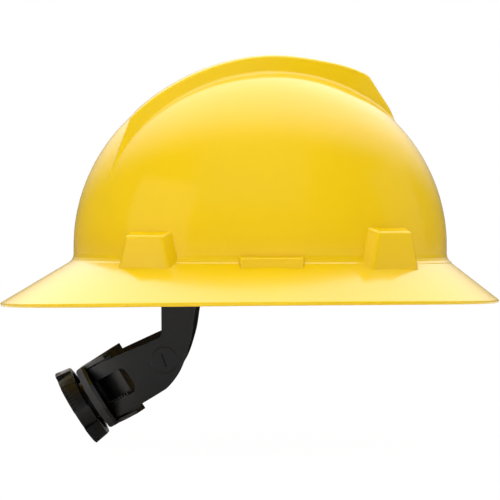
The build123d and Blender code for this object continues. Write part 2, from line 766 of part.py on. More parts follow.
# Click ring: pressed into the boss, with small inner teeth for the pawl spring
with BuildPart() as click_ring:
    with BuildSketch(rear_plane(cup_floor)):
        Circle(cup_radius - ring_fit)
        Circle(click_root_radius, mode=Mode.SUBTRACT)
        with PolarLocations(0, click_teeth):
            with BuildLine():
                half_turn = pi * click_root_radius / click_teeth
                Polyline((click_tip_radius, 0), (click_root_radius + ring_fit, half_turn),
                         (click_root_radius + ring_fit, -half_turn), close=True)
            make_face()
    extrude(amount=click_height)
click_ring.part.label = "click_ring"
export_step(click_ring.part, "parts/click_ring.step")


def involute(radius):
    # Turn between the tooth's middle and its flank at a radius of the pinion
    base = pitch_radius * cos(radians(tooth_angle))
    lean = radians(tooth_angle)
    at = acos(min(1, base / max(radius, base)))
    return pi / (2 * pinion_teeth) + (tan(lean) - lean) - (tan(at) - at)


# Pinion: toothed wheel in the straps' windows, with a journal, a shaft and a square drive
with BuildPart() as pinion:
    flank = [pinion_root - tooth_inset, pitch_radius * cos(radians(tooth_angle)), pitch_radius,
             (pitch_radius + pinion_tip) / 2, pinion_tip]
    with BuildSketch(rear_plane(pinion_foot)):
        Circle(pinion_root)
        for index in range(pinion_teeth):
            middle = pi / 2 + 2 * pi * index / pinion_teeth
            near = [(r * cos(middle - involute(r)), r * sin(middle - involute(r))) for r in flank]
            far = [(r * cos(middle + involute(r)), r * sin(middle + involute(r))) for r in reversed(flank)]
            with BuildLine():
                Polyline(*near, *far, close=True)
            make_face()
    extrude(amount=pinion_top - pinion_foot)
    with BuildSketch(rear_plane(journal_foot)):
        Circle(journal_radius)
    extrude(amount=pinion_foot - journal_foot)
    with BuildSketch(rear_plane(pinion_top)):
        Circle(shaft_radius)
    extrude(amount=shaft_shoulder - pinion_top)
    with BuildSketch(rear_plane(shaft_shoulder)):
        Rectangle(drive_width, drive_width)
    extrude(amount=shaft_top - shaft_shoulder)
    with BuildSketch(rear_plane(shaft_top)):
        Circle(screw_radius + screw_fit)
    extrude(amount=screw_floor - shaft_top - screw_depth - screw_fit, mode=Mode.SUBTRACT)
pinion.part.label = "pinion"
export_step(pinion.part, "parts/pinion.step")

# Pawl spring: a ring on the knob's hub with bent arms that reach towards the click ring
pawl_ring_inner = hub_radius + screw_fit
with BuildPart() as pawl_spring:
    with BuildSketch(rear_plane(pawl_foot)):
        Circle(pawl_ring_inner + pawl_wall)
        Circle(pawl_ring_inner, mode=Mode.SUBTRACT)
        start = pawl_ring_inner + pawl_wall / 2
        reach = click_tip_radius - pawl_tip_gap - pawl_arm_width / 2 - start
        for index in range(pawl_arms):
            arm = []
            for reach_share, turn_share in pawl_arm_shares:
                radius = start + reach * reach_share
                turn = radians(360 * index / pawl_arms + pawl_arm_turn * turn_share)
                arm.append((radius * cos(turn), radius * sin(turn)))
            with BuildLine():
                Spline(arm)
            trace(line_width=pawl_arm_width)
    extrude(amount=pawl_height)
pawl_spring.part.label = "pawl_spring"
export_step(pawl_spring.part, "parts/pawl_spring.step")

# Knob: a dished wheel with ribbed grip pads, a hollow back and a hub with a square socket
dish_level = knob_face - knob_dish_depth
cap_level = dish_level - cap_wall
hollow_level = knob_web + knob_hollow_depth
with BuildPart() as knob:
    with BuildSketch(turned_plane()):
        with BuildLine():
            Polyline((0, hub_foot), (hub_radius, hub_foot), (hub_radius, knob_web),
                     (knob_hollow_inner, knob_web), (knob_hollow_inner, hollow_level),
                     (knob_hollow_radius, hollow_level),
                     (knob_hollow_radius, knob_foot), (knob_foot_radius, knob_foot), (knob_radius, knob_face),
                     (knob_dish_radius, knob_face), (knob_dish_radius - knob_dish_depth, dish_level),
                     (cap_radius + cap_fit, dish_level), (cap_radius + cap_fit, cap_level),
                     (screw_head_radius + cap_fit, cap_level), (screw_head_radius + cap_fit, screw_floor),
                     (0, screw_floor), close=True)
        make_face()
    revolve(axis=knob_axis)
    rims = knob.edges().filter_by(GeomType.CIRCLE).filter_by(lambda edge: edge.radius > knob_hollow_radius)
    fillet(rims.filter_by(lambda edge: edge.radius > knob_foot_radius - screw_fit), radius=knob_edge_fillet)
    with BuildSketch(rear_plane(knob_foot - overrun)):
        for index in range(knob_pads):
            middle = 90 + 360 * (index + 1 / 2) / knob_pads
            with BuildLine():
                half_gap = knob_gap_turn / 2
                CenterArc((0, 0), knob_radius - knob_gap_depth, middle - half_gap, knob_gap_turn)
                CenterArc((0, 0), knob_radius + overrun, middle - half_gap, knob_gap_turn)
                for turn in (middle - half_gap, middle + half_gap):
                    way = (cos(radians(turn)), sin(radians(turn)))
                    inner = knob_radius - knob_gap_depth
                    outer = knob_radius + overrun
                    Line((inner * way[0], inner * way[1]), (outer * way[0], outer * way[1]))
            make_face()
        for index in range(knob_pads):
            pad_turn = 360 / knob_pads - knob_gap_turn
            for rib in range(1, knob_ribs):
                turn = radians(90 + 360 * index / knob_pads + pad_turn * (rib / knob_ribs - 1 / 2))
                with Locations((knob_radius * cos(turn), knob_radius * sin(turn))):
                    Circle(rib_groove_radius)
    extrude(amount=knob_face - knob_foot + 2 * overrun, mode=Mode.SUBTRACT)
    with BuildSketch(rear_plane(hub_foot - overrun)):
        Rectangle(drive_width + 2 * cap_fit, drive_width + 2 * cap_fit)
    extrude(amount=shaft_top + cap_fit - hub_foot + overrun, mode=Mode.SUBTRACT)
    with BuildSketch(rear_plane(shaft_top)):
        Circle(screw_radius + 2 * screw_fit)
    extrude(amount=screw_floor - shaft_top, mode=Mode.SUBTRACT)
knob.part.label = "knob"
export_step(knob.part, "parts/knob.step")

# Knob screw: a flat round head, a plain shank and a cross recess
with BuildPart() as knob_screw:
    with BuildSketch(rear_plane(screw_floor)):
        Circle(screw_head_radius)
    extrude(amount=screw_head_height)
    with BuildSketch(rear_plane(screw_floor)):
        Circle(screw_radius)
    extrude(amount=-screw_depth)
    with BuildSketch(rear_plane(screw_floor + screw_head_height)):
        Rectangle(screw_cross_length, screw_cross_width)
        Rectangle(screw_cross_width, screw_cross_length)
    extrude(amount=-screw_cross_depth, mode=Mode.SUBTRACT)
knob_screw.part.label = "knob_screw"
export_step(knob_screw.part, "parts/knob_screw.step")

# Knob cap: a thin disc that closes the screw's hole
with BuildPart() as knob_cap:
    with BuildSketch(rear_plane(cap_level)):
        Circle(cap_radius)
    extrude(amount=cap_wall)
    fillet(knob_cap.faces().sort_by(knob_axis)[-1].edges(), radius=cap_wall / 3)
knob_cap.part.label = "knob_cap"
export_step(knob_cap.part, "parts/knob_cap.step")
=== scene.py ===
import math

import bpy
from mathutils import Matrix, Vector


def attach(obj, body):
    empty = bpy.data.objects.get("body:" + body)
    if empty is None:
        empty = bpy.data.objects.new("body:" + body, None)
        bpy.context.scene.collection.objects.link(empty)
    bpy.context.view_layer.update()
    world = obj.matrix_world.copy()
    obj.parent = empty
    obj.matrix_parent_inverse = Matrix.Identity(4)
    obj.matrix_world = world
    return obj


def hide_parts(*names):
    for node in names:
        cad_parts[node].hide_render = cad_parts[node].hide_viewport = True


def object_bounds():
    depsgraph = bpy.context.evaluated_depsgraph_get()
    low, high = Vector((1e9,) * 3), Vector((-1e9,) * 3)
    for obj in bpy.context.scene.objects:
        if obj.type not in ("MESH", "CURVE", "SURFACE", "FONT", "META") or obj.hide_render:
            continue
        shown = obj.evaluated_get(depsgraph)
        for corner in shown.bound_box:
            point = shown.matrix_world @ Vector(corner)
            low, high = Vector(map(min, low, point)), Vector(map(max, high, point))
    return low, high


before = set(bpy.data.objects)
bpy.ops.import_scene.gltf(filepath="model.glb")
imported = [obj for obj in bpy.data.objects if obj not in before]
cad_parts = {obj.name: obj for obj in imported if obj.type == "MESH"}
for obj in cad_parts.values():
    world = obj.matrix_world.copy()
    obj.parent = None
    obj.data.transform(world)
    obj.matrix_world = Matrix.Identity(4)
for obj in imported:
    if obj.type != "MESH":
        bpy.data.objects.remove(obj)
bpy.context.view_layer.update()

# The studio: a level long lens at the hat's right side, a pale floor under the knob, a white tent
# that glows softly above and behind the crown, a high and a low fill on the camera's side and a
# faint light at each end. Floor and tent show as plain white, and the floor is clear from below.
camera_distance = 1.5
camera_level = 0.0492
frame_width = 0.3155
frame_middle = 0.0341
sensor_width = 36.0
camera_data = bpy.data.cameras.new("side_camera")
camera_data.sensor_width = sensor_width
camera_data.lens = sensor_width * camera_distance / frame_width
camera_data.shift_y = (frame_middle - camera_level) / frame_width
camera_data.clip_end = 20.0
camera = bpy.data.objects.new("side_camera", camera_data)
camera.location = (0.0, -camera_distance, camera_level)
camera.rotation_euler = (math.radians(90), 0.0, 0.0)
bpy.context.scene.collection.objects.link(camera)
bpy.context.scene.camera = camera
bpy.context.scene.view_settings.view_transform = "Standard"

white = (1.0, 1.0, 1.0, 1.0)
glow_way = (0.0, 0.5, 0.87)
glow_edge = 0.5
glow_core = 0.97
tent_level = 0.17
glow_level = 2.7
world = bpy.data.worlds.new("studio_white")
bpy.context.scene.world = world
world.use_nodes = True
sky = world.node_tree
sky.nodes.clear()
sky_out = sky.nodes.new("ShaderNodeOutputWorld")
sky_light = sky.nodes.new("ShaderNodeBackground")
sky_light.inputs["Color"].default_value = white
sky_way = sky.nodes.new("ShaderNodeTexCoord")
sky_lean = sky.nodes.new("ShaderNodeVectorMath")
sky_lean.operation = "DOT_PRODUCT"
sky_lean.inputs[1].default_value = glow_way
sky_glow = sky.nodes.new("ShaderNodeMapRange")
sky_glow.interpolation_type = "SMOOTHSTEP"
sky_glow.inputs["From Min"].default_value = glow_edge
sky_glow.inputs["From Max"].default_value = glow_core
sky_glow.inputs["To Min"].default_value = tent_level
sky_glow.inputs["To Max"].default_value = glow_level
sky.links.new(sky_way.outputs["Generated"], sky_lean.inputs[0])
sky.links.new(sky_lean.outputs["Value"], sky_glow.inputs["Value"])
sky.links.new(sky_glow.outputs["Result"], sky_light.inputs["Strength"])
sky_seen = sky.nodes.new("ShaderNodeBackground")
sky_seen.inputs["Color"].default_value = white
sky_seen.inputs["Strength"].default_value = 1.0
sky_ray = sky.nodes.new("ShaderNodeLightPath")
sky_white = sky.nodes.new("ShaderNodeMath")
sky_white.operation = "MAXIMUM"
sky_mix = sky.nodes.new("ShaderNodeMixShader")
sky.links.new(sky_ray.outputs["Is Camera Ray"], sky_white.inputs[0])
sky.links.new(sky_ray.outputs["Is Transmission Ray"], sky_white.inputs[1])
sky.links.new(sky_white.outputs[0], sky_mix.inputs["Fac"])
sky.links.new(sky_light.outputs["Background"], sky_mix.inputs[1])
sky.links.new(sky_seen.outputs["Background"], sky_mix.inputs[2])
sky.links.new(sky_mix.outputs["Shader"], sky_out.inputs["Surface"])

floor_gap = 0.0005
floor_reach = 4.0
floor_white_share = 0.98
floor_white_level = 1.01
floor_pale = (0.8, 0.8, 0.8, 1.0)
floor_signs = ((-1, -1), (1, -1), (1, 1), (-1, 1))
floor_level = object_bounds()[0][2] - floor_gap
floor_mesh = bpy.data.meshes.new("floor")
floor_corners = [(x * floor_reach, y * floor_reach, floor_level) for x, y in floor_signs]
floor_mesh.from_pydata(floor_corners, [], [(0, 1, 2, 3)])
floor = bpy.data.objects.new("floor", floor_mesh)
bpy.context.scene.collection.objects.link(floor)
floor_paint = bpy.data.materials.new("floor_white")
floor_paint.use_nodes = True
tree = floor_paint.node_tree
tree.nodes.clear()
floor_out = tree.nodes.new("ShaderNodeOutputMaterial")
floor_matt = tree.nodes.new("ShaderNodeBsdfDiffuse")
floor_matt.inputs["Color"].default_value = floor_pale
floor_glow = tree.nodes.new("ShaderNodeEmission")
floor_glow.inputs["Strength"].default_value = floor_white_level
floor_ray = tree.nodes.new("ShaderNodeLightPath")
floor_share = tree.nodes.new("ShaderNodeMath")
floor_share.operation = "MULTIPLY"
floor_share.inputs[1].default_value = floor_white_share
floor_mix = tree.nodes.new("ShaderNodeMixShader")
floor_side = tree.nodes.new("ShaderNodeNewGeometry")
floor_clear = tree.nodes.new("ShaderNodeBsdfTransparent")
floor_seen = tree.nodes.new("ShaderNodeMixShader")
tree.links.new(floor_ray.outputs["Is Camera Ray"], floor_share.inputs[0])
tree.links.new(floor_share.outputs[0], floor_mix.inputs["Fac"])
tree.links.new(floor_matt.outputs["BSDF"], floor_mix.inputs[1])
tree.links.new(floor_glow.outputs["Emission"], floor_mix.inputs[2])
tree.links.new(floor_side.outputs["Backfacing"], floor_seen.inputs["Fac"])
tree.links.new(floor_mix.outputs["Shader"], floor_seen.inputs[1])
tree.links.new(floor_clear.outputs["BSDF"], floor_seen.inputs[2])
tree.links.new(floor_seen.outputs["Shader"], floor_out.inputs["Surface"])
floor_mesh.materials.append(floor_paint)

hat_middle = Vector((0.0, 0.0, 0.06))


def soft_light(name, place, width, height, power, mirrored=True):
    data = bpy.data.lights.new(name, "AREA")
    data.shape = "RECTANGLE"
    data.size = width
    data.size_y = height
    data.energy = power
    lamp = bpy.data.objects.new(name, data)
    lamp.location = place
    lamp.rotation_euler = (hat_middle - Vector(place)).to_track_quat("-Z", "Y").to_euler()
    lamp.visible_glossy = mirrored
    bpy.context.scene.collection.objects.link(lamp)


soft_light("front_fill", place=(-0.1, -1.1, 1.1), width=1.6, height=1.2, power=12.0, mirrored=False)
soft_light("low_fill", place=(0.0, -1.6, 0.1), width=2.0, height=0.8, power=3.0, mirrored=False)
soft_light("rear_side_light", place=(-1.25, -0.75, 0.35), width=1.1, height=1.2, power=2.0)
soft_light("front_side_light", place=(1.4, 0.05, 0.4), width=0.9, height=1.1, power=0.8)


# The shell: one glossy moulding in yellow polyethylene, with the crest, the brim, the four
# key housings and the two accessory slots in it. Its skin has the faint unevenness and fine
# grain of a moulded shell.
def plastic(name, colour, roughness, grain, grain_depth, gloss):
    darker = 0.975
    lighter = 1.015
    paint = bpy.data.materials.new(name)
    paint.use_nodes = True
    nodes = paint.node_tree.nodes
    link = paint.node_tree.links.new
    shader = nodes["Principled BSDF"]
    shader.inputs["Specular IOR Level"].default_value = gloss
    place = nodes.new("ShaderNodeTexCoord")
    cloud = nodes.new("ShaderNodeTexNoise")
    cloud.inputs["Scale"].default_value = 14.0
    cloud.inputs["Detail"].default_value = 3.0
    tint = nodes.new("ShaderNodeValToRGB")
    low, high = tint.color_ramp.elements
    low.position = 0.3
    high.position = 0.7
    low.color = [part * darker for part in colour] + [1.0]
    high.color = [min(1.0, part * lighter) for part in colour] + [1.0]
    wear = nodes.new("ShaderNodeMapRange")
    wear.inputs["To Min"].default_value = roughness * 0.9
    wear.inputs["To Max"].default_value = roughness * 1.12
    fine = nodes.new("ShaderNodeTexNoise")
    fine.inputs["Scale"].default_value = grain
    fine.inputs["Detail"].default_value = 2.0
    bump = nodes.new("ShaderNodeBump")
    bump.inputs["Distance"].default_value = grain_depth
    bump.inputs["Strength"].default_value = 0.35
    link(place.outputs["Object"], cloud.inputs["Vector"])
    link(place.outputs["Object"], fine.inputs["Vector"])
    link(cloud.outputs["Fac"], tint.inputs["Fac"])
    link(tint.outputs["Color"], shader.inputs["Base Color"])
    link(cloud.outputs["Fac"], wear.inputs["Value"])
    link(wear.outputs["Result"], shader.inputs["Roughness"])
    link(fine.outputs["Fac"], bump.inputs["Height"])
    link(bump.outputs["Normal"], shader.inputs["Normal"])
    return paint


def dress(paint, *nodes):
    for node in nodes:
        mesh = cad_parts[node].data
        for index in range(len(mesh.materials)):
            mesh.materials[index] = paint
        if not mesh.materials:
            mesh.materials.append(paint)


yellow_shell = plastic("yellow_shell", colour=(0.84, 0.55, 0.002), roughness=0.15, grain=900.0,
                       grain_depth=0.00001, gloss=0.5)
dress(yellow_shell, "shell")

# The headband and the four keys: satin charcoal polyethylene, a stiff band that hangs from
# the keys, which push up into the shell's pockets.
charcoal_band = plastic("charcoal_band", colour=(0.009, 0.009, 0.01), roughness=0.42, grain=1500.0,
                        grain_depth=0.00002, gloss=0.22)
dress(charcoal_band, "headband", "front_left_key", "front_right_key", "rear_left_key", "rear_right_key")

# The nape straps: thin arms in the same plastic with a toothed window in each. The right one
# has a faint round mark of a mould insert on its outer face, a ring with a slanted slot, and
# the slot's colour is darkened towards black as painted shade.
strap_finish = {"colour": (0.008, 0.008, 0.009), "roughness": 0.42, "grain": 1500.0,
                "grain_depth": 0.00002, "gloss": 0.22}
charcoal_strap = plastic("charcoal_strap", **strap_finish)
marked_strap = plastic("marked_strap", **strap_finish)
dress(charcoal_strap, "nape_strap_left")
dress(marked_strap, "nape_strap_right")


def calculator(tree):
    # Gives a function that lays one math node in the tree and returns what it works out
    def calc(operation, first, second=0.0):
        step = tree.nodes.new("ShaderNodeMath")
        step.operation = operation
        for socket, value in ((step.inputs[0], first), (step.inputs[1], second)):
            if isinstance(value, float):
                socket.default_value = value
            else:
                tree.links.new(value, socket)
        return step.outputs[0]

    return calc


def ridge(calc, distance, half_width):
    # One on a line, falling evenly to nothing at its half width
    return calc("MAXIMUM", calc("SUBTRACT", 1.0, calc("DIVIDE", calc("ABSOLUTE", distance), half_width)))


mark_x = -0.0515
mark_z = -0.0311
mark_radius = 0.0078
mark_ring_half = 0.0006
mark_ring_height = 0.6
mark_slot_half = 0.0009
mark_slot_reach = 0.0042
mark_lean = (0.94, 0.34)
mark_depth = 0.0005
mark_nodes = marked_strap.node_tree.nodes
mark_link = marked_strap.node_tree.links.new
mark_calc = calculator(marked_strap.node_tree)
mark_skin = mark_nodes["Principled BSDF"].inputs
mark_place = mark_nodes.new("ShaderNodeTexCoord")
mark_split = mark_nodes.new("ShaderNodeSeparateXYZ")
mark_link(mark_place.outputs["Object"], mark_split.inputs[0])
mark_ahead = mark_calc("SUBTRACT", mark_split.outputs["X"], mark_x)
mark_up = mark_calc("SUBTRACT", mark_split.outputs["Z"], mark_z)
mark_reach = mark_calc("SQRT", mark_calc("ADD", mark_calc("MULTIPLY", mark_ahead, mark_ahead),
                                         mark_calc("MULTIPLY", mark_up, mark_up)))
mark_ring = ridge(mark_calc, mark_calc("SUBTRACT", mark_reach, mark_radius), mark_ring_half)
mark_slope = mark_calc("ADD", mark_calc("MULTIPLY", mark_ahead, mark_lean[0]),
                       mark_calc("MULTIPLY", mark_up, mark_lean[1]))
mark_slot = mark_calc("MULTIPLY", mark_calc("LESS_THAN", mark_reach, mark_slot_reach),
                      ridge(mark_calc, mark_slope, mark_slot_half))
mark_height = mark_calc("SUBTRACT", mark_calc("MULTIPLY", mark_ring, mark_ring_height), mark_slot)
mark_colour, mark_rough, mark_grain = (mark_skin[name].links[0].from_socket
                                       for name in ("Base Color", "Roughness", "Normal"))
# Painted shade: inside the slanted slot the strap's colour is scaled down towards black
mark_slot_painted_shade = mark_nodes.new("ShaderNodeVectorMath")
mark_slot_painted_shade.operation = "SCALE"
mark_bump = mark_nodes.new("ShaderNodeBump")
mark_bump.inputs["Distance"].default_value = mark_depth
mark_bump.inputs["Strength"].default_value = 0.8
mark_link(mark_colour, mark_slot_painted_shade.inputs[0])
mark_link(mark_calc("SUBTRACT", 1.0, mark_slot), mark_slot_painted_shade.inputs["Scale"])
mark_link(mark_slot_painted_shade.outputs["Vector"], mark_skin["Base Color"])
mark_link(mark_calc("MAXIMUM", mark_rough, mark_slot), mark_skin["Roughness"])
mark_link(mark_height, mark_bump.inputs["Height"])
mark_link(mark_grain, mark_bump.inputs["Normal"])
mark_link(mark_bump.outputs["Normal"], mark_skin["Normal"])

# The ratchet: cover, guide plate, knob and cap in satin black, inner wheels in pale acetal
# and one steel screw under the cap. The cover clips to the guide plate by four tongues, and
# the pinion that the knob turns draws both nape straps in.
black_housing = plastic("black_housing", colour=(0.004, 0.004, 0.005), roughness=0.38, grain=1200.0,
                        grain_depth=0.00001, gloss=0.45)
black_knob = plastic("black_knob", colour=(0.004, 0.004, 0.005), roughness=0.33, grain=1200.0,
                     grain_depth=0.00001, gloss=0.4)
pale_acetal = plastic("pale_acetal", colour=(0.72, 0.71, 0.68), roughness=0.35, grain=1500.0,
                      grain_depth=0.00002, gloss=0.5)
screw_steel = plastic("screw_steel", colour=(0.6, 0.6, 0.62), roughness=0.28, grain=2500.0,
                      grain_depth=0.00002, gloss=0.5)
screw_steel.node_tree.nodes["Principled BSDF"].inputs["Metallic"].default_value = 1.0
dress(black_housing, "ratchet_cover", "ratchet_guide")
dress(black_knob, "knob", "knob_cap")
dress(pale_acetal, "pinion", "click_ring", "pawl_spring")
dress(screw_steel, "knob_screw")


# Stitching: one run of sewing thread along a line of edges, as on the straps' folded ends and
# the brow pad's seams. Each stitch is a small rounded thread, set out by a node group.
def stitch_tool():
    group = bpy.data.node_groups.new("stitch_run", "GeometryNodeTree")
    face = group.interface
    face.new_socket(name="Geometry", in_out="INPUT", socket_type="NodeSocketGeometry")
    for name, value in (("Pitch", 0.003), ("Stitch Length", 0.0024), ("Thread Radius", 0.00022)):
        socket = face.new_socket(name=name, in_out="INPUT", socket_type="NodeSocketFloat")
        socket.default_value = value
    face.new_socket(name="Material", in_out="INPUT", socket_type="NodeSocketMaterial")
    face.new_socket(name="Geometry", in_out="OUTPUT", socket_type="NodeSocketGeometry")
    start = group.nodes.new("NodeGroupInput")
    end = group.nodes.new("NodeGroupOutput")
    line = group.nodes.new("GeometryNodeMeshToCurve")
    points = group.nodes.new("GeometryNodeCurveToPoints")
    points.mode = "LENGTH"
    thread = group.nodes.new("GeometryNodeMeshIcoSphere")
    thread.inputs["Radius"].default_value = 1.0
    thread.inputs["Subdivisions"].default_value = 2
    half = group.nodes.new("ShaderNodeMath")
    half.operation = "MULTIPLY"
    half.inputs[1].default_value = 0.5
    size = group.nodes.new("ShaderNodeCombineXYZ")
    lay = group.nodes.new("GeometryNodeInstanceOnPoints")
    real = group.nodes.new("GeometryNodeRealizeInstances")
    paint = group.nodes.new("GeometryNodeSetMaterial")
    link = group.links.new
    link(start.outputs["Geometry"], line.inputs["Mesh"])
    link(line.outputs["Curve"], points.inputs["Curve"])
    link(start.outputs["Pitch"], points.inputs["Length"])
    link(start.outputs["Stitch Length"], half.inputs[0])
    link(start.outputs["Thread Radius"], size.inputs["X"])
    link(start.outputs["Thread Radius"], size.inputs["Y"])
    link(half.outputs[0], size.inputs["Z"])
    link(points.outputs["Points"], lay.inputs["Points"])
    link(points.outputs["Rotation"], lay.inputs["Rotation"])
    link(thread.outputs["Mesh"], lay.inputs["Instance"])
    link(size.outputs["Vector"], lay.inputs["Scale"])
    link(lay.outputs["Instances"], real.inputs["Geometry"])
    link(real.outputs["Geometry"], paint.inputs["Geometry"])
    link(start.outputs["Material"], paint.inputs["Material"])
    link(paint.outputs["Geometry"], end.inputs["Geometry"])
    return group


stitch_share = 0.78
stitch_group = stitch_tool()
thread_paint = plastic("thread_paint", colour=(0.03, 0.03, 0.032), roughness=0.6, grain=4000.0,
                       grain_depth=0.00003, gloss=0.3)


def sew(name, runs, pitch, body):
    lines = bpy.data.meshes.new(name + "_lines")
    spots = []
    edges = []
    for run in runs:
        first = len(spots)
        spots.extend(tuple(spot) for spot in run)
        edges.extend((first + i, first + i + 1) for i in range(len(run) - 1))
    lines.from_pydata(spots, edges, [])
    piece = bpy.data.objects.new(name, lines)
    bpy.context.scene.collection.objects.link(piece)
    tool = piece.modifiers.new("stitches", "NODES")
    tool.node_group = stitch_group
    settings = {"Pitch": pitch, "Stitch Length": pitch * stitch_share, "Material": thread_paint}
    for item in stitch_group.interface.items_tree:
        if item.in_out == "INPUT" and item.name in settings:
            tool[item.identifier] = settings[item.name]
    graph = bpy.context.evaluated_depsgraph_get()
    made = bpy.data.meshes.new_from_object(piece.evaluated_get(graph))
    piece.modifiers.clear()
    piece.data = made
    for face in made.polygons:
        face.use_smooth = True
    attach(piece, body)


# The crown straps: two bands of 19 mm woven nylon that cross under the crown. Each end goes
# through a key's slot, round its top bar and back up the strap, where it is sewn down.
def fabric(name, colour, ribs_across, ribs_along, depth):
    # Woven cloth read from the piece's own map, in centimetres: chevron ribs and a fine nap. The colour
    # follows the weave's height, darker in the furrows as painted shade and lighter on the ribs as painted
    # light, and the nap adds random tone.
    chevron_share = 0.35
    yarn_share = 0.15
    nap_share = 0.4
    furrow_painted_shade = 0.55
    rib_painted_light = 1.25
    paint = bpy.data.materials.new(name)
    paint.use_nodes = True
    nodes = paint.node_tree.nodes
    link = paint.node_tree.links.new
    calc = calculator(paint.node_tree)
    shader = nodes["Principled BSDF"]
    shader.inputs["Roughness"].default_value = 0.85
    shader.inputs["Specular IOR Level"].default_value = 0.25
    shader.inputs["Sheen Weight"].default_value = 0.15
    chart = nodes.new("ShaderNodeUVMap")
    chart.uv_map = "cloth"
    split = nodes.new("ShaderNodeSeparateXYZ")
    link(chart.outputs["UV"], split.inputs[0])
    across = calc("MULTIPLY", calc("ABSOLUTE", split.outputs["X"]), ribs_across * math.tau)
    along = calc("MULTIPLY", split.outputs["Y"], ribs_along * math.tau)
    chevron = calc("SINE", calc("ADD", across, along))
    yarn = calc("SINE", calc("MULTIPLY", split.outputs["X"], ribs_across * 2.0 * math.tau))
    height = calc("ADD", calc("MULTIPLY", chevron, chevron_share), calc("MULTIPLY", yarn, yarn_share))
    nap = nodes.new("ShaderNodeTexNoise")
    nap.inputs["Scale"].default_value = 2500.0
    place = nodes.new("ShaderNodeTexCoord")
    link(place.outputs["Object"], nap.inputs["Vector"])
    total = calc("ADD", calc("ADD", height, 0.5), calc("MULTIPLY", nap.outputs["Fac"], nap_share))
    bump = nodes.new("ShaderNodeBump")
    bump.inputs["Distance"].default_value = depth
    bump.inputs["Strength"].default_value = 0.8
    link(total, bump.inputs["Height"])
    link(bump.outputs["Normal"], shader.inputs["Normal"])
    # Painted shade and light: the colour is darker where the weave's height is low and lighter where it is
    # high
    tint = nodes.new("ShaderNodeValToRGB")
    tint.color_ramp.elements[0].color = [part * furrow_painted_shade for part in colour] + [1.0]
    tint.color_ramp.elements[1].color = [part * rib_painted_light for part in colour] + [1.0]
    link(total, tint.inputs["Fac"])
    link(tint.outputs["Color"], shader.inputs["Base Color"])
    return paint


def swept(name, rings, chart, paint):
    # Closed skin through rings of points, each ring joined to the next and both ends capped
    count = len(rings[0])
    spots = [tuple(spot) for ring in rings for spot in ring]
    faces = []
    for i in range(len(rings) - 1):
        for j in range(count):
            k = (j + 1) % count
            faces.append((i * count + j, i * count + k, (i + 1) * count + k, (i + 1) * count + j))
    faces.append(tuple(range(count - 1, -1, -1)))
    faces.append(tuple((len(rings) - 1) * count + j for j in range(count)))
    mesh = bpy.data.meshes.new(name)
    mesh.from_pydata(spots, [], faces)
    layer = mesh.uv_layers.new(name="cloth")
    for face in mesh.polygons:
        face.use_smooth = len(face.vertices) == 4
        for corner in face.loop_indices:
            spot = mesh.loops[corner].vertex_index
            layer.data[corner].uv = chart[spot]
    mesh.materials.append(paint)
    piece = bpy.data.objects.new(name, mesh)
    bpy.context.scene.collection.objects.link(piece)
    return piece


webbing_paint = fabric("webbing_black", colour=(0.017, 0.017, 0.019), ribs_across=4.5, ribs_along=6.0,
                       depth=0.00025)
cloth_scale = 100
oval_centre = 0.0064
oval_long = 0.1175
oval_wide = 0.102
front_key_x = 0.083
rear_key_x = -0.060
strap_half = 0.0095
strap_wall = 0.0013
strap_edge = 0.0004
strap_edge_share = 0.22
plate_out = 0.0063
plate_wall = 0.0025
plate_top = 0.050
bar_height = 0.0035
strap_gap = 0.0004
fold_radius = 0.0008
tail_length = 0.016
tail_lift_share = 1.12
tail_rise_share = 0.6
tail_steps = 8
arch_steps = 120
twist_turn = 0.28
seam_side_share = 0.78
seam_lift_share = 0.52
seam_start = 0.003
seam_stop = 0.002
seam_steps = 6
seam_pitch = 0.0026
up = Vector((0, 0, 1))


def key_place(x, side):
    # Place of a key on the band's oval and the way out from it
    y = oval_wide * math.sqrt(1 - ((x - oval_centre) / oval_long) ** 2)
    out = Vector(((x - oval_centre) / oval_long ** 2, side * y / oval_wide ** 2, 0.0)).normalized()
    return Vector((x, side * y, 0.0)), out


def rounded(path):
    # Cuts every corner of a path once
    corner_shares = (0.25, 0.75)
    smooth = [path[0]]
    for one, two in zip(path, path[1:]):
        for share in corner_shares:
            smooth.append((one[0].lerp(two[0], share), one[1].lerp(two[1], share).normalized()))
    smooth.append(path[-1])
    return smooth


